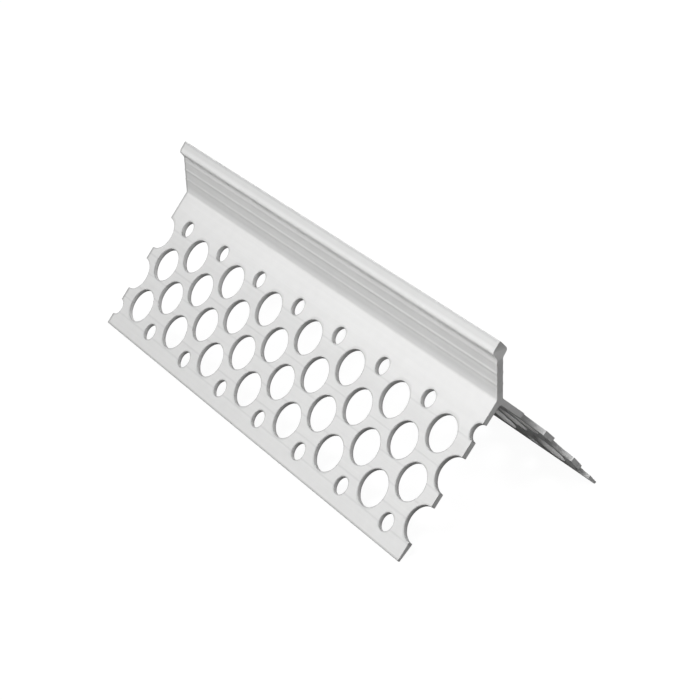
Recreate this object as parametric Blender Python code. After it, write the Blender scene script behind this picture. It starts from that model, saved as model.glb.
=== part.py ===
"""PVC corner bead for render and plaster: one extrusion with two perforated wings and a nose.

Metres, +Z up. +X runs along the bead and +Z up the nose. The bead stands on the outer
edges of its two wings, as it would lie on a floor, and the origin is on that floor
under the middle of the bead.
"""

import math

import bmesh
import bpy
from mathutils import Matrix, Vector

MM = 0.001

# Length of the piece, which ends through the middle of a row of holes at both ends
LENGTH = 135.0 * MM

# Section of the extrusion
WING_ANGLE = math.radians(81.5)  # between the wings' outer faces, so that they grip a square corner
WING_ROOT_WALL = 1.4 * MM
WING_WALL = 1.1 * MM  # where the strip that thins towards the outer edge begins
WING_EDGE_WALL = 0.6 * MM
THINNED_STRIP = 4.0 * MM  # width of that strip
WING_EDGE_ROUND = 0.2 * MM
INNER_CORNER_RADIUS = 0.5 * MM
NOSE_HEIGHT = 14.0 * MM  # from the foot of the nose to its ridge
NOSE_WALL = 1.5 * MM
NOSE_FOOT_RADIUS = 1.0 * MM
CAP_HALF_WIDTH = 1.85 * MM
CAP_SLOPE_DROP = 2.3 * MM  # from the ridge down to the tip of each lip
CAP_LIP_UNDERCUT = 0.9 * MM  # from the tip of a lip down to where it meets the nose
CAP_RIDGE_RADIUS = 0.3 * MM
CAP_LIP_RADIUS = 0.35 * MM
CAP_UNDERCUT_RADIUS = 0.6 * MM
ARC_STEP = math.radians(18.0)  # largest turn between two points of a rounded corner

# Punched holes, in rows along the bead: a row of small ones, four of large ones and another of
# small ones. Each row is half a pitch along from the one beside it, and the plastic left
# between two neighbouring holes is their web.
LARGE_HOLE_DIAMETER = 8.8 * MM
SMALL_HOLE_DIAMETER = 4.2 * MM
LARGE_ROWS = 4
STAGGER_ANGLE = math.radians(34.34)  # from the bead's length to the line through neighbouring holes
LARGE_WEB = 2.1 * MM
INNER_SMALL_WEB = 3.55 * MM
OUTER_SMALL_WEB = 3.35 * MM
FOOT_STRIP = 5.8 * MM  # plain strip between the foot of the nose and the first holes
EDGE_STRIP = 2.95 * MM  # plain strip between the last holes and the outer edge
LARGE_HOLE_SIDES = 32
SMALL_HOLE_SIDES = 20
PUNCH_REACH = 3.0 * MM  # how far a punch passes each face of the wing

SHARP_EDGE = math.radians(30.0)  # edges that turn by less are shaded smooth

# White PVC-U
PVC_COLOUR = (0.83, 0.83, 0.83, 1.0)
PVC_ROUGHNESS = 0.42


def rounded_outline(corners):
    """Closed outline from (y, z, radius) corners, with an arc in each corner that has a radius."""
    outline = []
    for index, (y, z, radius) in enumerate(corners):
        corner = Vector((y, z))
        before = (Vector(corners[index - 1][:2]) - corner).normalized()
        after = (Vector(corners[(index + 1) % len(corners)][:2]) - corner).normalized()
        if radius == 0.0:
            outline.append(corner)
            continue
        half_opening = before.angle(after) / 2
        turn = math.pi - 2 * half_opening
        tangent = radius / math.tan(half_opening)
        centre = corner + (before + after).normalized() * radius / math.sin(half_opening)
        start = corner + before * tangent - centre
        clockwise = before.cross(after) > 0
        steps = max(2, math.ceil(turn / ARC_STEP))
        for step in range(steps + 1):
            angle = turn * step / steps * (-1 if clockwise else 1)
            outline.append(centre + Matrix.Rotation(angle, 2) @ start)
    return outline


def hole_pitch():
    """Distance between two holes of one row."""
    return 2 * (LARGE_HOLE_DIAMETER + LARGE_WEB) * math.cos(STAGGER_ANGLE)


def step_to_small_row(web):
    """Distance down the wing between a row of small holes and the row of large ones beside it."""
    between = (LARGE_HOLE_DIAMETER + SMALL_HOLE_DIAMETER) / 2 + web
    return math.sqrt(between**2 - (hole_pitch() / 2) ** 2)


def hole_rows():
    """(distance from the foot of the nose, diameter, sides) of each row, down the wing."""
    small = (SMALL_HOLE_DIAMETER, SMALL_HOLE_SIDES)
    large = (LARGE_HOLE_DIAMETER, LARGE_HOLE_SIDES)
    large_step = (LARGE_HOLE_DIAMETER + LARGE_WEB) * math.sin(STAGGER_ANGLE)
    distance = FOOT_STRIP + SMALL_HOLE_DIAMETER / 2
    rows = [(distance, *small)]
    distance += step_to_small_row(INNER_SMALL_WEB)
    for index in range(LARGE_ROWS):
        rows.append((distance + index * large_step, *large))
    distance += (LARGE_ROWS - 1) * large_step + step_to_small_row(OUTER_SMALL_WEB)
    rows.append((distance, *small))
    return rows


def wing_width():
    """Width of a wing on its outer face, from the foot of the nose to the outer edge."""
    last_row = hole_rows()[-1][0]
    return last_row + SMALL_HOLE_DIAMETER / 2 + EDGE_STRIP


def wing_directions():
    """Down the outer face of the +Y wing, and out of that face, in the section's plane."""
    half_angle = WING_ANGLE / 2
    down = Vector((math.sin(half_angle), -math.cos(half_angle)))
    out = Vector((math.cos(half_angle), math.sin(half_angle)))
    return down, out


def section_corners(foot_height):
    """Corners of the section with the foot of the nose at this height, clockwise from the ridge."""
    down, out = wing_directions()
    foot = Vector((NOSE_WALL / 2, foot_height))
    ridge_height = foot_height + NOSE_HEIGHT
    lip_height = ridge_height - CAP_SLOPE_DROP
    outer_edge = foot + down * wing_width()
    inner_edge = outer_edge - out * WING_EDGE_WALL
    strip_start = outer_edge - down * THINNED_STRIP - out * WING_WALL
    inner_face = (strip_start - (foot - out * WING_ROOT_WALL)).normalized()
    inner_corner = strip_start - inner_face * strip_start.x / inner_face.x
    right = [
        (CAP_HALF_WIDTH, lip_height, CAP_LIP_RADIUS),
        (foot.x, lip_height - CAP_LIP_UNDERCUT, CAP_UNDERCUT_RADIUS),
        (foot.x, foot.y, NOSE_FOOT_RADIUS),
        (outer_edge.x, outer_edge.y, WING_EDGE_ROUND),
        (inner_edge.x, inner_edge.y, WING_EDGE_ROUND),
        (strip_start.x, strip_start.y, 0.0),
    ]
    left = [(-y, z, radius) for y, z, radius in reversed(right)]
    ridge = (0.0, ridge_height, CAP_RIDGE_RADIUS)
    inside = (inner_corner.x, inner_corner.y, INNER_CORNER_RADIUS)
    return [ridge, *right, inside, *left]


def foot_height_on_floor():
    """Height of the foot of the nose that puts the outline's lowest points on the floor."""
    outline = rounded_outline(section_corners(0.0))
    return -min(point.y for point in outline)


def extruded_section(foot_height):
    """The bead before punching, extruded along X from a flat outline, as a mesh object."""
    curve = bpy.data.curves.new("bead_section", "CURVE")
    curve.dimensions = "2D"
    curve.fill_mode = "BOTH"
    curve.extrude = LENGTH / 2
    outline = rounded_outline(section_corners(foot_height))
    spline = curve.splines.new("POLY")
    spline.points.add(len(outline) - 1)
    for point, place in zip(spline.points, outline):
        point.co = (place.x, place.y, 0.0, 1.0)
    spline.use_cyclic_u = True
    flat = bpy.data.objects.new("bead_section", curve)
    bpy.context.scene.collection.objects.link(flat)
    flat.rotation_euler = (math.pi / 2, 0.0, math.pi / 2)
    bpy.context.view_layer.update()
    evaluated = flat.evaluated_get(bpy.context.evaluated_depsgraph_get())
    mesh = bpy.data.meshes.new_from_object(evaluated)
    mesh.transform(flat.matrix_world)
    bpy.data.objects.remove(flat)
    shape = bmesh.new()
    shape.from_mesh(mesh)
    bmesh.ops.remove_doubles(shape, verts=shape.verts, dist=0.001 * MM)
    bmesh.ops.recalc_face_normals(shape, faces=shape.faces)
    shape.to_mesh(mesh)
    shape.free()
    mesh.name = "corner_bead"
    return bpy.data.objects.new("corner_bead", mesh)


def punches(name, side, foot_height):
    """One mesh of round punches for the wing on this side of the bead (-1 or +1 in Y).

    Neighbouring rows are half a pitch apart, and the two wings are half a pitch apart too.
    """
    down, out = wing_directions()
    axis = Vector((0.0, side * out.x, out.y))
    along_wing = Vector((0.0, side * down.x, down.y))
    foot = Vector((0.0, side * NOSE_WALL / 2, foot_height))
    turned = axis.to_track_quat("Z", "X").to_matrix().to_4x4()
    depth = WING_ROOT_WALL + 2 * PUNCH_REACH
    pitch = hole_pitch()
    shape = bmesh.new()
    for row, (distance, diameter, sides) in enumerate(hole_rows()):
        half_pitch = (row % 2 == 0) == (side < 0)
        first = -LENGTH / 2 + (pitch / 2 if half_pitch else 0.0)
        columns = math.ceil((LENGTH / 2 + diameter / 2 - first) / pitch)
        for column in range(columns):
            middle = foot + along_wing * distance - axis * WING_ROOT_WALL / 2
            middle.x = first + column * pitch
            bmesh.ops.create_cone(
                shape,
                cap_ends=True,
                segments=sides,
                radius1=diameter / 2,
                radius2=diameter / 2,
                depth=depth,
                matrix=Matrix.Translation(middle) @ turned,
            )
    mesh = bpy.data.meshes.new(name)
    shape.to_mesh(mesh)
    shape.free()
    cutter = bpy.data.objects.new(name, mesh)
    cutter.hide_render = True
    cutter.display_type = "WIRE"
    return cutter


def punched(bead, cutters):
    """The bead's mesh with every hole cut, shaded smooth round the holes and the rounded edges."""
    for cutter in cutters:
        cut = bead.modifiers.new(cutter.name, "BOOLEAN")
        cut.operation = "DIFFERENCE"
        cut.object = cutter
    evaluated = bead.evaluated_get(bpy.context.evaluated_depsgraph_get())
    mesh = bpy.data.meshes.new_from_object(evaluated)
    mesh.shade_smooth()
    mesh.set_sharp_from_angle(angle=SHARP_EDGE)
    return mesh


def white_pvc():
    material = bpy.data.materials.new("white_pvc")
    material.use_nodes = True
    shader = material.node_tree.nodes["Principled BSDF"]
    shader.inputs["Base Color"].default_value = PVC_COLOUR
    shader.inputs["Roughness"].default_value = PVC_ROUGHNESS
    shader.inputs["Metallic"].default_value = 0.0
    return material


def new_collection(name):
    collection = bpy.data.collections.new(name)
    bpy.context.scene.collection.children.link(collection)
    return collection


def build():
    for old in list(bpy.data.objects):
        bpy.data.objects.remove(old)
    parts = new_collection("corner_bead")
    cutters = new_collection("punches")
    foot_height = foot_height_on_floor()
    bead = extruded_section(foot_height)
    parts.objects.link(bead)
    for name, side in (("left_wing_punches", -1), ("right_wing_punches", 1)):
        cutters.objects.link(punches(name, side, foot_height))
    bead.data = punched(bead, cutters.objects)
    bead.modifiers.clear()
    bead.data.materials.append(white_pvc())


build()
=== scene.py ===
import math

import bmesh
import bpy
import numpy as np
from mathutils import Euler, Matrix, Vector


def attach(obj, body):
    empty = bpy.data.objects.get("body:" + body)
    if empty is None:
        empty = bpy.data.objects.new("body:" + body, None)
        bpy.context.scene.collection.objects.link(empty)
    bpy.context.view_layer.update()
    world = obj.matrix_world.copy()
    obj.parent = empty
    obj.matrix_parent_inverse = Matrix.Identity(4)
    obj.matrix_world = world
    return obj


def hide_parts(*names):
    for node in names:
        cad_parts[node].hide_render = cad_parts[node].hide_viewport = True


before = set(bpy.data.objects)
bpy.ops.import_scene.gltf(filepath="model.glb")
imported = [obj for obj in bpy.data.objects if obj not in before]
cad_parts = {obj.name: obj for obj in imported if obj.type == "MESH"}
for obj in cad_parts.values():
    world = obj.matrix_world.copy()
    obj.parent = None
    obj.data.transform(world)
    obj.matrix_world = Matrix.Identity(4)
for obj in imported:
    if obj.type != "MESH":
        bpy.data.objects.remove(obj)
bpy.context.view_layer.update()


# The bead: one length of hard white PVC-U, two wings on a thin upright nose with an arrow-shaped
# ridge. It is drawn through a die, a press punches six staggered rows of round holes through each
# wing, and it is sawn off square at both ends.

MM = 0.001

BEAD_LENGTH = 135.0 * MM
HALF_ANGLE = math.radians(81.5) / 2  # from the middle plane to the outer face of a wing
ROOT_WALL = 1.4 * MM
WING_WALL = 1.1 * MM  # where the thinned strip at the outer edge begins
EDGE_WALL = 0.6 * MM
THINNED_STRIP = 4.0 * MM
EDGE_ROUND = 0.2 * MM
INNER_CORNER = 0.5 * MM
NOSE_HEIGHT = 14.0 * MM
NOSE_WALL = 1.5 * MM
NOSE_FOOT = 1.0 * MM
CAP_HALF_WIDTH = 2.0 * MM
CAP_DROP = 2.45 * MM
LIP_UNDERCUT = 1.7 * MM
RIDGE_ROUND = 0.31 * MM
LIP_ROUND = 0.95 * MM
UNDERCUT_ROUND = 1.4 * MM

LARGE_HOLE = 8.8 * MM
SMALL_HOLE = 4.2 * MM
STAGGER = math.radians(34.34)
LARGE_WEB = 2.1 * MM
INNER_SMALL_WEB = 3.55 * MM
OUTER_SMALL_WEB = 3.35 * MM
FOOT_STRIP = 5.8 * MM
EDGE_STRIP = 2.95 * MM
WHOLE_HOLES = 7  # in each row, beside the one that is cut in half

PITCH = 2 * (LARGE_HOLE + LARGE_WEB) * math.cos(STAGGER)
LARGE_STEP = (LARGE_HOLE + LARGE_WEB) * math.sin(STAGGER)
HOLE_RADII = np.array([SMALL_HOLE, *[LARGE_HOLE] * 4, SMALL_HOLE]) / 2


def small_step(web):
    """Distance between a row of small holes and the large row beside it: the short side of the
    triangle whose long side joins two neighbouring holes and whose other side is half a pitch."""
    between = (LARGE_HOLE + SMALL_HOLE) / 2 + web
    return math.sqrt(between**2 - (PITCH / 2) ** 2)


ROW_STEPS = [small_step(INNER_SMALL_WEB), *[LARGE_STEP] * 3, small_step(OUTER_SMALL_WEB)]
ROWS = FOOT_STRIP + SMALL_HOLE / 2 + np.concatenate([[0.0], np.cumsum(ROW_STEPS)])
WING_WIDTH = ROWS[-1] + SMALL_HOLE / 2 + EDGE_STRIP


def wall(down):
    """Wall of a wing at a distance down from the foot: it thins slowly and evenly as far as the
    strip along the outer edge, and faster in that strip."""
    places = [0.0, WING_WIDTH - THINNED_STRIP, WING_WIDTH]
    return np.interp(down, places, [ROOT_WALL, WING_WALL, EDGE_WALL])


def section_point(down, depth):
    """(across, height) of a point of a wing from the foot of the nose: so far down the slope of
    the outer face, and so far in from that face."""
    across = NOSE_WALL / 2 + down * math.sin(HALF_ANGLE) - depth * math.cos(HALF_ANGLE)
    height = -down * math.cos(HALF_ANGLE) - depth * math.sin(HALF_ANGLE)
    return np.stack(np.broadcast_arrays(across, height), axis=-1)


def round_corner(before, corner, after, radius, pieces):
    """Arc that rounds a corner: the circle that touches both sides, swept evenly from the point
    where it touches the first to the point where it touches the second."""
    to_before = (before - corner) / np.linalg.norm(before - corner)
    to_after = (after - corner) / np.linalg.norm(after - corner)
    half_opening = math.acos(float(to_before @ to_after)) / 2
    middle = to_before + to_after
    centre = corner + middle / np.linalg.norm(middle) * radius / math.sin(half_opening)
    start = corner + to_before * radius / math.tan(half_opening) - centre
    end = corner + to_after * radius / math.tan(half_opening) - centre
    turn = math.pi - 2 * half_opening
    share = np.linspace(0.0, 1.0, pieces + 1)[:, None]
    return centre + (start * np.sin((1 - share) * turn) + end * np.sin(share * turn)) / math.sin(turn)


# Three faint ribs run along each side of the nose, as marks of the die.
RIB_HEIGHTS = np.array([3.6, 6.3, 8.6]) * MM
RIB_PROUD = np.array([0.08, 0.10, 0.05]) * MM
RIB_HALF_WIDTH = 0.55 * MM
NOSE_FACE_STEP = 0.12 * MM

# The punched plate of a wing lies between two distances down from the foot. One line of points
# runs just above it, and one close to the outer edge.
PLATE_TOP = 3.0 * MM
PLATE_BOTTOM = ROWS[-1] + HOLE_RADII[-1] + 1.4 * MM
PLATE_JOIN = 1.8 * MM
NEAR_EDGE = WING_WIDTH - 0.6 * MM

# Straight pieces in each rounded corner. The two in the middle plane are halved by it.
RIDGE_PIECES = 8
LIP_PIECES = 6
UNDERCUT_PIECES = 4
FOOT_PIECES = 8
INNER_PIECES = 8
EDGE_PIECES = 5
SLOPE_SHARES = np.array([[0.2], [0.3], [0.55]])  # points on the cap's slope, from ridge to lip


def nose_face(low, high):
    """Side of the nose from low to high: straight up, with a raised cosine hump for each rib."""
    height = np.linspace(low, high, int(abs(high - low) / NOSE_FACE_STEP))[:, None]
    reach = np.clip(np.abs(height - RIB_HEIGHTS) / RIB_HALF_WIDTH, 0.0, 1.0)
    proud = (RIB_PROUD * (1 + np.cos(math.pi * reach)) / 2).sum(axis=1)
    return np.column_stack([NOSE_WALL / 2 + proud, height[:, 0]])


def nose_outline():
    """One side of the outer outline, from the ridge over the lip and down the nose to the wing:
    straight lines between its corners, with each corner rounded."""
    ridge = np.array([0.0, NOSE_HEIGHT])
    lip = np.array([CAP_HALF_WIDTH, NOSE_HEIGHT - CAP_DROP])
    undercut = np.array([NOSE_WALL / 2, NOSE_HEIGHT - CAP_DROP - LIP_UNDERCUT])
    foot = np.array([NOSE_WALL / 2, 0.0])
    top = section_point(PLATE_TOP, 0.0)
    ridge_arc = round_corner(lip * [-1, 1], ridge, lip, RIDGE_ROUND, RIDGE_PIECES)[RIDGE_PIECES // 2 :]
    slope = ridge + (lip - ridge) * SLOPE_SHARES
    lip_arc = round_corner(ridge, lip, undercut, LIP_ROUND, LIP_PIECES)
    undercut_arc = round_corner(lip, undercut, foot, UNDERCUT_ROUND, UNDERCUT_PIECES)
    foot_arc = round_corner(undercut, foot, top, NOSE_FOOT, FOOT_PIECES)
    face = nose_face(undercut_arc[-1, 1], foot_arc[0, 1])[1:-1]
    ends = section_point(np.array([PLATE_JOIN, PLATE_TOP]), 0.0)
    return np.concatenate([ridge_arc, slope, lip_arc, undercut_arc, face, foot_arc, ends])


def inner_outline():
    """One side of the inner corner, from the middle plane down the inner face to the plate. Its
    apex is where the straight inner face, carried on, meets the middle plane."""
    thinning = (ROOT_WALL - WING_WALL) / (WING_WIDTH - THINNED_STRIP)
    slope = math.sin(HALF_ANGLE) + thinning * math.cos(HALF_ANGLE)
    apex_down = (ROOT_WALL * math.cos(HALF_ANGLE) - NOSE_WALL / 2) / slope
    apex = section_point(apex_down, wall(apex_down))
    low = section_point(PLATE_TOP, wall(PLATE_TOP))
    arc = round_corner(low * [-1, 1], apex, low, INNER_CORNER, INNER_PIECES)[INNER_PIECES // 2 :]
    downs = np.array([PLATE_JOIN, PLATE_TOP])
    return np.concatenate([arc, section_point(downs, wall(downs))])


def edge_outline():
    """Outer edge of a wing, from its outer face round two small radii to its inner face."""
    start = section_point(PLATE_BOTTOM, 0.0)
    near_edge = section_point(NEAR_EDGE, 0.0)
    outer = section_point(WING_WIDTH, 0.0)
    inner = section_point(WING_WIDTH, EDGE_WALL)
    inner_near_edge = section_point(NEAR_EDGE, wall(NEAR_EDGE))
    end = section_point(PLATE_BOTTOM, wall(PLATE_BOTTOM))
    outer_arc = round_corner(start, outer, inner, EDGE_ROUND, EDGE_PIECES)
    inner_arc = round_corner(outer, inner, end, EDGE_ROUND, EDGE_PIECES)
    return np.concatenate([[start, near_edge], outer_arc, inner_arc, [inner_near_edge, end]])


FOOT_HEIGHT = -edge_outline()[:, 1].min()
BOW = 1.1 * MM  # how far the middle of the right wing stands out, as on the piece in the photograph
BOW_WIDTH = WING_WIDTH - 1.0 * MM  # it ends just short of the outer edge


def at(along, section, side=1):
    """Points of the bead from lengths along it and (across, height) pairs of its section. The
    right wing is moved out from its flat place by half a sine wave over its width."""
    along, across = np.broadcast_arrays(along, side * section[..., 0])
    height = np.broadcast_to(section[..., 1], across.shape)
    down = (across - NOSE_WALL / 2) * math.sin(HALF_ANGLE) - height * math.cos(HALF_ANGLE)
    bow = BOW * np.sin(math.pi * np.clip(down / BOW_WIDTH, 0.0, 1.0)) * (across > 0.0)
    across = across + bow * math.cos(HALF_ANGLE)
    height = height + bow * math.sin(HALF_ANGLE)
    return np.stack([along, across, FOOT_HEIGHT + height], axis=-1)


# Seven and a half pitches are 0.003 mm longer than the bead, so the cells at its near end stand that
# far from their neighbours. Points as close as this become one, which closes the seam.
MERGE_DISTANCE = 0.004 * MM


class Skin:
    """Grids of points and flat end faces, gathered and then merged into one closed mesh."""

    def __init__(self):
        self.points, self.scuffs, self.faces, self.count = [], [], [], 0

    def add_grid(self, grid, scuff=0.0):
        """Squares between the neighbouring points of a grid, or of each grid in a stack, with how
        much painted shade the plastic has at each point."""
        self.scuffs.append(np.broadcast_to(scuff, grid.shape[:-1]).reshape(-1))
        grid = grid.reshape(-1, *grid.shape[-3:])
        index = self.count + np.arange(grid[..., 0].size).reshape(grid.shape[:-1])
        corners = (index[:, :-1, :-1], index[:, :-1, 1:], index[:, 1:, 1:], index[:, 1:, :-1])
        self.faces += np.stack(corners, axis=-1).reshape(-1, 4).tolist()
        self.points.append(grid.reshape(-1, 3))
        self.count += grid[..., 0].size

    def add_face(self, outline):
        """One flat face with the outline's points as its corners, in their order."""
        self.faces.append(list(range(self.count, self.count + len(outline))))
        self.points.append(outline)
        self.scuffs.append(np.zeros(len(outline)))
        self.count += len(outline)

    def mesh(self, name):
        """All of it as one mesh: points in the same place become one, and the faces are turned
        outwards."""
        mesh = bpy.data.meshes.new(name)
        mesh.from_pydata(np.concatenate(self.points).tolist(), [], self.faces)
        # The darkening attribute holds painted shade at the ridge, the outer edges, the rims and the
        # walls of the holes.
        mesh.attributes.new("scuff", "FLOAT", "POINT")
        mesh.attributes["scuff"].data.foreach_set("value", np.concatenate(self.scuffs))
        shape = bmesh.new()
        shape.from_mesh(mesh)
        bmesh.ops.remove_doubles(shape, verts=shape.verts, dist=MERGE_DISTANCE)
        bmesh.ops.recalc_face_normals(shape, faces=shape.faces)
        shape.to_mesh(mesh)
        shape.free()
        return mesh


def meeting_points():
    """(along, down) of the points where three cells of the plate meet, along being measured from
    the column of the outer two holes. Each hole has its own cell. The tangents from such a point
    to the circles of a hole, the next one in its column and the one beside them are equally long."""
    first, beside, last = ROWS[:-2], ROWS[1:-1], ROWS[2:]
    first_r, beside_r, last_r = HOLE_RADII[:-2], HOLE_RADII[1:-1], HOLE_RADII[2:]
    down = ((last**2 - last_r**2) - (first**2 - first_r**2)) / (2 * (last - first))
    to_beside = (down - beside) ** 2 - beside_r**2
    to_first = (down - first) ** 2 - first_r**2
    along = ((PITCH / 2) ** 2 + to_beside - to_first) / PITCH
    return np.column_stack([along, down])


# Pieces in the edges of a cell: a quarter pitch of the plate's straight borders, the short half edge
# between a hole and the next one in its column, and the long edge between it and the one beside.
MEETINGS = meeting_points()
BORDER_PIECES = 4
SHORT_PIECES = 3
LONG_PIECES = 11


def cell_side(row):
    """Right side of the cell round the hole at (0, row): corners from the top to the bottom,
    with each edge cut into equal pieces, so that neighbouring cells share their points."""
    last = len(ROWS) - 1
    corners, pieces = [], []
    if row < 2:
        corners += [(0.0, PLATE_TOP), (PITCH / 4, PLATE_TOP)]
        pieces.append(BORDER_PIECES)
    else:
        corners += [(0.0, MEETINGS[row - 2, 1]), tuple(MEETINGS[row - 2])]
        pieces.append(SHORT_PIECES)
    if 1 <= row <= last - 1:
        along, down = MEETINGS[row - 1]
        corners.append((PITCH / 2 - along, down))
        pieces.append(LONG_PIECES)
    if row > last - 2:
        corners += [(PITCH / 4, PLATE_BOTTOM), (0.0, PLATE_BOTTOM)]
        pieces += [LONG_PIECES, BORDER_PIECES]
    else:
        corners += [tuple(MEETINGS[row]), (0.0, MEETINGS[row, 1])]
        pieces += [LONG_PIECES, SHORT_PIECES]
    corners = np.array(corners)
    runs = [
        start + (end - start) * np.linspace(0.0, 1.0, count, endpoint=False)[:, None]
        for start, end, count in zip(corners[:-1], corners[1:], pieces)
    ]
    return np.concatenate([*runs, corners[-1:]])


ROLL_WIDTH = 0.12 * MM  # the punch rolls the rim of the outer face over
ROLL_DEPTH = 0.08 * MM
BACK_ROUND = 0.16 * MM
RIM_FLAT = 0.06 * MM  # the first flat ring beside a rounded rim
ARC = np.linspace(0.0, math.pi / 2, 5)

# Rings of one hole from the cell's edge on the outer face, over the rim, through the wall and out
# to the cell's edge on the inner face: how far past the rim, what share of the way from there to
# the cell's edge, how deep, and what share of the wall's thickness that depth starts at.
PAST_RIM = np.concatenate([
    [ROLL_WIDTH + RIM_FLAT] * 3, ROLL_WIDTH * (1 - np.sin(ARC)), [0.0],
    BACK_ROUND * (1 - np.cos(ARC[::2])), [BACK_ROUND + RIM_FLAT] * 3,
])
TO_EDGE = np.concatenate([[1.0, 0.15, 0.0], np.zeros(9), [0.0, 0.15, 1.0]])
DEPTH = np.concatenate([
    np.zeros(3), ROLL_DEPTH * (1 - np.cos(ARC)), [0.0],
    -BACK_ROUND * (1 - np.sin(ARC[::2])), np.zeros(3),
])
WALL_SHARE = np.concatenate([np.zeros(8), [0.5], np.ones(6)])

# How much painted shade each ring has, on the rolled rim and in the wall of the hole. The walls of the
# holes that the saw went through are greyer, with more painted shade.
RIM_SHADE = np.array([0.0, 0.0, 0.4, 0.7, 1.0, 1.0, 0.9, 0.6, 0.1, 0.45, 0.65, 0.5, 0.3, 0.0, 0.0])
CUT_RIM_SHADE = np.array([0.0, 0.0, 0.4, 0.7, 1.0, 1.0, 0.9, 0.6, 0.55, 0.55, 0.65, 0.55, 0.3, 0.0, 0.0])


def punched_cell(row, side_points):
    """(along, down, depth) of each ring and point of a cell: a circle round the hole near its
    rim, passing evenly into the cell's outline."""
    spokes = side_points - [0.0, ROWS[row]]
    reach = np.linalg.norm(spokes, axis=1)
    radius = HOLE_RADII[row] + PAST_RIM[:, None]
    radius = radius + TO_EDGE[:, None] * (reach - radius)
    along, offset = radius * (spokes / reach[:, None]).T[:, None, :]
    down = ROWS[row] + offset
    return np.stack([along, down, DEPTH[:, None] + WALL_SHARE[:, None] * wall(down)])


def add_wing(skin, side):
    """All cells of a wing. The rows of the left wing whose hole is cut in half at the near end are
    the first, third and fifth, and those of the right wing the others; the rest are cut at the far
    end. Beside each half hole the sawn face joins every ring to the one across the wall."""
    middle_ring = len(PAST_RIM) // 2
    for row in range(len(ROWS)):
        right = cell_side(row)
        left = right[::-1] * [-1, 1]
        cut_near = (row % 2 == 0) == (side < 0)
        columns = -BEAD_LENGTH / 2 + PITCH * (np.arange(WHOLE_HOLES) + (0.5 if cut_near else 1.0))
        along, down, depth = punched_cell(row, np.concatenate([right, left[1:]]))
        section = section_point(down, depth)
        # Painted shade on the rims and walls of the holes
        skin.add_grid(at(columns[:, None, None] + along, section, side), RIM_SHADE[:, None])
        along, down, depth = punched_cell(row, left if cut_near else right)
        cut_column = BEAD_LENGTH / 2 if cut_near else -BEAD_LENGTH / 2
        cell = at(cut_column + along, section_point(down, depth), side)
        skin.add_grid(cell, CUT_RIM_SHADE[:, None])
        for line in (cell[:, 0], cell[:, -1]):
            skin.add_grid(np.stack([line[: middle_ring + 1], line[::-1][: middle_ring + 1]]))


# Painted shade on the rounded ridge and on the rounded outer edges of the wings: how far it reaches from
# the ridge, how strong it is there, and how far it reaches from an edge.
RIDGE_SHADE_REACH = 0.95 * MM
RIDGE_SHADE = 0.6
EDGE_SHADE_REACH = 0.6 * MM


def shade_from_corner(outline, corner, reach):
    """How much painted shade each point of an outline has: 1 at the corner, falling evenly to 0 at the
    reach.
    """
    return np.clip(1 - np.linalg.norm(outline - corner, axis=1) / reach, 0.0, 1.0)


def both_sides(outline):
    """A half outline and its mirror image as one line from the left side to the right."""
    return np.concatenate([outline[::-1] * [-1, 1], outline[1:]])


SHARP_EDGE = math.radians(35.0)  # edges that turn by less are shaded smooth


def corner_bead_mesh():
    """The whole bead: its section carried along X between the plates of the two wings, the
    plates themselves, and the sawn ends, which join each point to the one across the wall."""
    skin = Skin()
    quarter = PITCH / 4 / BORDER_PIECES
    stations = -BEAD_LENGTH / 2 + quarter * np.arange(round(BEAD_LENGTH / quarter) + 1)
    stations[-1] = BEAD_LENGTH / 2
    nose, inner, edge = nose_outline(), inner_outline(), edge_outline()
    whole = both_sides(nose)
    # Painted shade along the ridge and along the outer edges of the wings
    ridge_shade = RIDGE_SHADE * shade_from_corner(whole, [0.0, NOSE_HEIGHT], RIDGE_SHADE_REACH)
    skin.add_grid(at(stations[:, None], whole), ridge_shade)
    skin.add_grid(at(stations[:, None], both_sides(inner)))
    edge_shade = shade_from_corner(edge, section_point(WING_WIDTH, 0.0), EDGE_SHADE_REACH)
    for side in (-1, 1):
        skin.add_grid(at(stations[:, None], edge, side), edge_shade)
        add_wing(skin, side)
    for end in (-BEAD_LENGTH / 2, BEAD_LENGTH / 2):
        skin.add_grid(at(end, np.stack([nose[:-1] * [-1, 1], nose[:-1]])))
        middle = np.concatenate([nose[-2:-1] * [-1, 1], nose[-2:-1], inner[-2::-1]])
        middle = np.concatenate([middle, inner[1:-1] * [-1, 1]])
        skin.add_face(at(end, middle))
        for side in (-1, 1):
            skin.add_grid(at(end, np.stack([nose[-2:], inner[-2:]]), side))
            half = len(edge) // 2
            skin.add_grid(at(end, np.stack([edge[:half], edge[::-1][:half]]), side))
    mesh = skin.mesh("corner_bead_pvc")
    mesh.shade_smooth()
    mesh.set_sharp_from_angle(angle=SHARP_EDGE)
    return mesh


bead = bpy.data.objects.new("corner_bead_pvc", corner_bead_mesh())
bpy.context.scene.collection.objects.link(bead)

PVC_WHITE = (0.84, 0.84, 0.835, 1.0)
# Grey for painted shade in the die's grooves
PVC_GROOVE_SHADE = (0.70, 0.70, 0.70, 1.0)

# The die leaves grooves along each wing at these distances down it, and fine streaks everywhere.
DIE_LINES = np.array([10.1, 18.6, 23.1, 27.5, 31.6, 35.8]) * MM
DIE_LINE_HALF_WIDTH = 0.38 * MM
DIE_LINE_SHADE_SHARE = 0.45  # of the groove's colour, in the middle of a line
DIE_LINE_DEPTH = 0.03 * MM
STREAK_SCALE = (6.0, 900.0, 150.0)  # along the bead, down the wing and across the bead
STREAK_DEPTH = 0.006 * MM
CLOUD_SCALE, MOTTLE_SCALE, GRAIN_SCALE = 45.0, 420.0, 2600.0  # waves to the metre
GRAIN_DEPTH = 0.001 * MM

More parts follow.
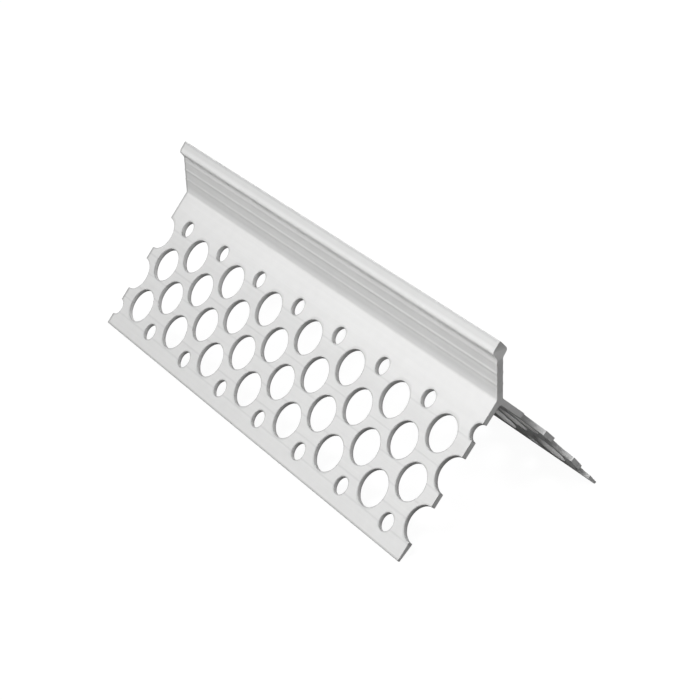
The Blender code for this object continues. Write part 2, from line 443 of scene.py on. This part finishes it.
# Tone is a factor on the colour. The patterns swing it, and painted shade lowers it down the wing,
# from the first distance to the second, by the third value.
STREAK_TONE, CLOUD_TONE, MOTTLE_TONE = 0.10, 0.05, 0.05
WING_SHADE_FALL = (4.0 * MM, 14.0 * MM, 0.08)

# Bands along the nose: height of the middle, half width of the flat part, reach and peak. The one on
# the ridge is painted shade, which lowers the tone; the one under the lip is painted light at the lip
# and in the shade under it, and those on the ribs are painted highlights, which raise it. On the side
# of the nose painted shade lowers it, with the streaks stronger in it, by how far they stay below
# their clear value.
RIDGE_SHADE_BAND = (NOSE_HEIGHT, 1.2 * MM, 1.9 * MM, 0.12)
UNDER_LIP_LIGHT_BAND = (10.7 * MM, 0.7 * MM, 1.5 * MM, 0.20)
RIB_HIGHLIGHT_BAND = (0.1 * MM, 0.7 * MM, 0.035)  # at each rib's own height
NOSE_SIDE_SHADE_BAND = (5.3 * MM, 3.3 * MM, 4.5 * MM, 1.0)
STREAKS_CLEAR = 1.45
NOSE_SHADE_STREAK_TONE = 0.10

# The darkening lowers the tone by up to this. It holds painted shade at the ridge, outer edges, rims and
# hole walls, and the darkening towards the far end.
DARKENING_TONE = 0.4
# The plastic is darker towards the far end, except on its sawn face.
FAR_END_DARKENING = (0.9 * MM, 0.2 * MM)  # from the far end, where it begins and where it is full

END_FACE = 0.01 * MM  # a sawn face is this close to an end
END_FACING = 0.9  # and its normal points along the bead by more than this
SAW_SCALE = (500.0, 4200.0)  # across the bead and up it
SAW_DEPTH = 0.03 * MM

ROUGHNESS, CLOUD_ROUGHNESS, SAWN_ROUGHNESS = 0.36, 0.12, 0.25
SHEEN = 0.35
SHEEN_STARTS = -0.3  # upward part of the normal from which faces begin to have it


def node(tree, kind, **settings):
    """A new node with its settings, and its inputs from a dict of values and links."""
    new = tree.nodes.new(kind)
    inputs = settings.pop("inputs", {})
    for name, value in settings.items():
        setattr(new, name, value)
    for name, value in inputs.items():
        if isinstance(value, bpy.types.NodeSocket):
            tree.links.new(value, new.inputs[name])
        else:
            new.inputs[name].default_value = value
    return new


def calc(tree, operation, first, second=0.0, clamp=False):
    """The result of a Math node on two values or links."""
    inputs = {0: first, 1: second}
    return node(tree, "ShaderNodeMath", operation=operation, use_clamp=clamp, inputs=inputs).outputs[0]


def total(tree, first, *others):
    """The sum of values or links, added in their order."""
    for other in others:
        first = calc(tree, "ADD", first, other)
    return first


def noise(tree, place, scale, detail=2.0, roughness=0.5):
    """A noise pattern between 0 and 1, with so many waves to the metre."""
    return node(tree, "ShaderNodeTexNoise", inputs={
        "Vector": place, "Scale": scale, "Detail": detail, "Roughness": roughness}).outputs["Fac"]


def swing(tree, pattern, amount):
    """How far a pattern is from its middle, times an amount."""
    return calc(tree, "MULTIPLY", calc(tree, "SUBTRACT", pattern, 0.5), amount)


def ramp(tree, value, start, end, peak, kind="SMOOTHSTEP"):
    """0 where a value is at its start, rising to the peak at its end."""
    return node(tree, "ShaderNodeMapRange", interpolation_type=kind, inputs={
        "Value": value, "From Min": start, "From Max": end, "To Max": peak}).outputs["Result"]


def band(tree, value, middle, flat, reach, peak):
    """A soft band of a value: the peak within the flat distance of its middle, falling smoothly
    to 0 at the reach."""
    away = calc(tree, "ABSOLUTE", calc(tree, "SUBTRACT", value, middle))
    return ramp(tree, away, reach, flat, peak)


def pvc_material():
    """White extruded PVC: fine streaks along the bead, the die's grooves at fixed distances down
    each wing with painted shade in them, painted shade down each wing, soft bands along the nose of
    painted shade, painted light under the lip and painted highlights on the ribs, painted shade on the
    rims, hole walls, ridge and outer edges, darker towards the far end, and saw marks on the cut ends.
    A coat gives its satin sheen, but not on faces that point down, where it would mirror the bright
    floor."""
    material = bpy.data.materials.new("white_pvc_extruded")
    material.use_nodes = True
    tree = material.node_tree
    shader = tree.nodes["Principled BSDF"]

    # Height above the foot of the nose, and distance down a wing from it
    coords = node(tree, "ShaderNodeTexCoord").outputs["Object"]
    place = node(tree, "ShaderNodeSeparateXYZ", inputs={0: coords}).outputs
    across = calc(tree, "SUBTRACT", calc(tree, "ABSOLUTE", place["Y"]), NOSE_WALL / 2)
    height = calc(tree, "SUBTRACT", place["Z"], FOOT_HEIGHT)
    down = calc(tree, "SUBTRACT", calc(tree, "MULTIPLY", across, math.sin(HALF_ANGLE)),
                calc(tree, "MULTIPLY", height, math.cos(HALF_ANGLE)))

    nearest = None
    for line in DIE_LINES:
        away = calc(tree, "ABSOLUTE", calc(tree, "SUBTRACT", down, float(line)))
        nearest = away if nearest is None else calc(tree, "MINIMUM", nearest, away)
    groove = ramp(tree, nearest, DIE_LINE_HALF_WIDTH, 0.0, 1.0)

    streak_place = node(tree, "ShaderNodeCombineXYZ", inputs={
        "X": calc(tree, "MULTIPLY", place["X"], STREAK_SCALE[0]),
        "Y": calc(tree, "MULTIPLY", down, STREAK_SCALE[1]),
        "Z": calc(tree, "MULTIPLY", place["Y"], STREAK_SCALE[2])}).outputs[0]
    streaks = noise(tree, streak_place, 1.0, detail=3.0, roughness=0.6)
    clouds = noise(tree, coords, CLOUD_SCALE)
    mottle = noise(tree, coords, MOTTLE_SCALE)
    grain = noise(tree, coords, GRAIN_SCALE)

    normal = node(tree, "ShaderNodeNewGeometry").outputs["Normal"]
    facing = node(tree, "ShaderNodeSeparateXYZ", inputs={0: normal}).outputs
    to_end = calc(tree, "GREATER_THAN", calc(tree, "ABSOLUTE", place["X"]), BEAD_LENGTH / 2 - END_FACE)
    endways = calc(tree, "GREATER_THAN", calc(tree, "ABSOLUTE", facing["X"]), END_FACING)
    sawn = calc(tree, "MULTIPLY", to_end, endways)
    not_sawn = calc(tree, "SUBTRACT", 1.0, sawn)
    saw_place = node(tree, "ShaderNodeCombineXYZ", inputs={
        "Y": calc(tree, "MULTIPLY", place["Y"], SAW_SCALE[0]),
        "Z": calc(tree, "MULTIPLY", place["Z"], SAW_SCALE[1])}).outputs[0]
    saw = noise(tree, saw_place, 1.0)

    tone = total(tree, swing(tree, streaks, STREAK_TONE), swing(tree, clouds, CLOUD_TONE),
                 swing(tree, mottle, MOTTLE_TONE), 1.0)
    # Painted shade down the wing and on the ridge lowers the tone
    greyer = total(tree, ramp(tree, down, *WING_SHADE_FALL), band(tree, height, *RIDGE_SHADE_BAND))
    tone = calc(tree, "SUBTRACT", tone, greyer)
    # Painted highlights on the ribs, painted light at the lip and in the shade under it, and painted
    # shade on the side of the nose, with its streaks stronger
    ribs = [band(tree, height, float(rib), *RIB_HIGHLIGHT_BAND) for rib in RIB_HEIGHTS]
    nose_shade_streaks = calc(tree, "SUBTRACT", streaks, STREAKS_CLEAR)
    nose_shade_streaks = calc(tree, "MULTIPLY", nose_shade_streaks, NOSE_SHADE_STREAK_TONE)
    nose_side_shade = calc(tree, "MULTIPLY", band(tree, height, *NOSE_SIDE_SHADE_BAND), nose_shade_streaks)
    tone = total(tree, tone, band(tree, height, *UNDER_LIP_LIGHT_BAND), *ribs, nose_side_shade)

    # Darker towards the far end, together with the painted shade at the ridge, outer edges, rims and
    # hole walls from the darkening attribute
    starts, full = (distance - BEAD_LENGTH / 2 for distance in FAR_END_DARKENING)
    far_end = calc(tree, "MULTIPLY", ramp(tree, place["X"], starts, full, 1.0, "LINEAR"), not_sawn)
    scuff = node(tree, "ShaderNodeAttribute", attribute_name="scuff").outputs["Fac"]
    scuff = calc(tree, "MAXIMUM", scuff, far_end)
    tone = calc(tree, "SUBTRACT", tone, calc(tree, "MULTIPLY", scuff, DARKENING_TONE))
    # The grey mixed into the die's grooves is painted shade
    white = node(tree, "ShaderNodeMix", data_type="RGBA", inputs={
        "Factor": calc(tree, "MULTIPLY", groove, DIE_LINE_SHADE_SHARE),
        "A": PVC_WHITE, "B": PVC_GROOVE_SHADE}).outputs["Result"]
    toned = node(tree, "ShaderNodeVectorMath", operation="SCALE", inputs={
        "Vector": white, "Scale": tone}).outputs["Vector"]
    tree.links.new(toned, shader.inputs["Base Color"])

    rough = total(tree, ROUGHNESS, calc(tree, "MULTIPLY", clouds, CLOUD_ROUGHNESS))
    sawn_rough = calc(tree, "MULTIPLY", sawn, SAWN_ROUGHNESS)
    tree.links.new(calc(tree, "ADD", rough, sawn_rough, clamp=True), shader.inputs["Roughness"])
    sheen = calc(tree, "MULTIPLY", ramp(tree, facing["Z"], SHEEN_STARTS, 0.0, SHEEN), not_sawn)
    tree.links.new(sheen, shader.inputs["Coat Weight"])

    relief = calc(tree, "MULTIPLY", streaks, STREAK_DEPTH)
    relief = calc(tree, "SUBTRACT", relief, calc(tree, "MULTIPLY", groove, DIE_LINE_DEPTH))
    saw_marks = calc(tree, "MULTIPLY", calc(tree, "MULTIPLY", saw, sawn), SAW_DEPTH)
    relief = total(tree, relief, calc(tree, "MULTIPLY", grain, GRAIN_DEPTH), saw_marks)
    bump = node(tree, "ShaderNodeBump", inputs={"Height": relief, "Strength": 1.0, "Distance": 1.0})
    tree.links.new(bump.outputs["Normal"], shader.inputs["Normal"])

    shader.inputs["Metallic"].default_value = 0.0
    shader.inputs["IOR"].default_value = 1.53
    shader.inputs["Specular IOR Level"].default_value = 0.0
    shader.inputs["Coat Roughness"].default_value = 0.35
    return material


bead.data.materials.append(pvc_material())
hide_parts("corner_bead")
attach(bead, "root")


# The floor: a wide pale studio table. The camera sees it near white with the bead's soft shadow,
# and it throws little light back up, as in the photograph, where the underside stays dark.

FLOOR_SIZE = 4.0
FLOOR_GLOW = 1.03
FLOOR_SHOWN = (0.95, 0.95, 0.95, 1.0)
FLOOR_BOUNCE = (0.11, 0.11, 0.11, 1.0)
SHADOW_SHARE = 0.07


def floor_object():
    """A square sheet in the plane that the bead stands on, as a two by two grid of points."""
    reach = np.array([-FLOOR_SIZE / 2, FLOOR_SIZE / 2])
    along, across = np.meshgrid(reach, reach, indexing="ij")
    points = np.stack([along, across, np.zeros((2, 2))], axis=-1).reshape(-1, 3)
    mesh = bpy.data.meshes.new("studio_floor")
    mesh.from_pydata(points.tolist(), [], [(0, 2, 3, 1)])
    floor = bpy.data.objects.new("studio_floor", mesh)
    bpy.context.scene.collection.objects.link(floor)
    return floor


def seen_directly(tree):
    """1 on rays from the camera and on mirrored or transmitted ones, 0 on diffuse bounces."""
    path = node(tree, "ShaderNodeLightPath").outputs
    seen = calc(tree, "MAXIMUM", path["Is Camera Ray"], path["Is Glossy Ray"])
    return calc(tree, "MAXIMUM", seen, path["Is Transmission Ray"])


def floor_material():
    """White glow with a share of a lit pale surface in it, which carries the shadow, where the
    floor is seen, and a dark surface for the light that bounces off it."""
    material = bpy.data.materials.new("studio_floor")
    material.use_nodes = True
    tree = material.node_tree
    output = tree.nodes["Material Output"]
    tree.nodes.remove(tree.nodes["Principled BSDF"])
    bright = node(tree, "ShaderNodeEmission", inputs={"Color": (1, 1, 1, 1), "Strength": FLOOR_GLOW})
    shaded = node(tree, "ShaderNodeBsdfDiffuse", inputs={"Color": FLOOR_SHOWN})
    shown = node(tree, "ShaderNodeMixShader", inputs={
        0: SHADOW_SHARE, 1: bright.outputs[0], 2: shaded.outputs[0]})
    bounce = node(tree, "ShaderNodeBsdfDiffuse", inputs={"Color": FLOOR_BOUNCE})
    mixed = node(tree, "ShaderNodeMixShader", inputs={
        0: seen_directly(tree), 1: bounce.outputs[0], 2: shown.outputs[0]})
    tree.links.new(mixed.outputs[0], output.inputs["Surface"])
    return material


floor = floor_object()
floor.data.materials.append(floor_material())


# The light: softboxes, cloth over lamps. The key one is high on the near wing's side, a weak one low
# beside it shines in through the holes, a weak one faces the cut end and one stands behind. The near
# wing is brightest, the nose's side greyer and the cut end darkest, as in the photograph.

SOFTBOXES = {  # place, width of the square and watts
    "key_softbox": ((0.15, -0.365, 0.54), 0.30, 3.45),
    "low_softbox": ((0.10, -0.60, 0.20), 0.30, 0.55),
    "end_softbox": ((0.45, 0.00, 0.45), 0.20, 0.40),
    "back_softbox": ((-0.30, 0.50, 0.45), 0.40, 5.0),
}
LIT_POINT = (0.0, 0.0, 0.02)  # all face the middle of the bead
ROOM_LIGHT = 0.01


def softbox(name, place, width, watts):
    """A square area light that faces the middle of the bead."""
    lamp = bpy.data.lights.new(name, "AREA")
    lamp.shape = "SQUARE"
    lamp.size = width
    lamp.energy = watts
    light = bpy.data.objects.new(name, lamp)
    light.location = place
    light.rotation_euler = (Vector(LIT_POINT) - Vector(place)).to_track_quat("-Z", "Y").to_euler()
    bpy.context.scene.collection.objects.link(light)


for name, (place, width, watts) in SOFTBOXES.items():
    softbox(name, place, width, watts)

world = bpy.data.worlds.new("studio")
bpy.context.scene.world = world
world.use_nodes = True
sky = world.node_tree
background = sky.nodes["Background"]
background.inputs["Color"].default_value = (1.0, 1.0, 1.0, 1.0)
strength = node(sky, "ShaderNodeMapRange", inputs={
    "Value": seen_directly(sky), "To Min": ROOM_LIGHT, "To Max": 1.0})
sky.links.new(strength.outputs["Result"], background.inputs["Strength"])


# The camera: its place, turn and focal length are fitted to the rims of the holes and the corners
# of the section in the photograph, whose frame is square.

CAMERA_PLACE = np.array([363.21, -220.28, 241.82]) * MM
CAMERA_TURN = [math.radians(angle) for angle in (61.6445, 1.8887, 57.1322)]
FOCAL_LENGTH_PIXELS = 2019.5
FRAME_PIXELS = 700

lens = bpy.data.cameras.new("photo_camera")
lens.sensor_width = 36.0
lens.lens = FOCAL_LENGTH_PIXELS / FRAME_PIXELS * lens.sensor_width
lens.clip_start = 0.01
lens.clip_end = 20.0
camera = bpy.data.objects.new("photo_camera", lens)
camera.location = CAMERA_PLACE
camera.rotation_euler = Euler(CAMERA_TURN, "XYZ")
bpy.context.scene.collection.objects.link(camera)
bpy.context.scene.camera = camera
bpy.context.scene.view_settings.view_transform = "Standard"
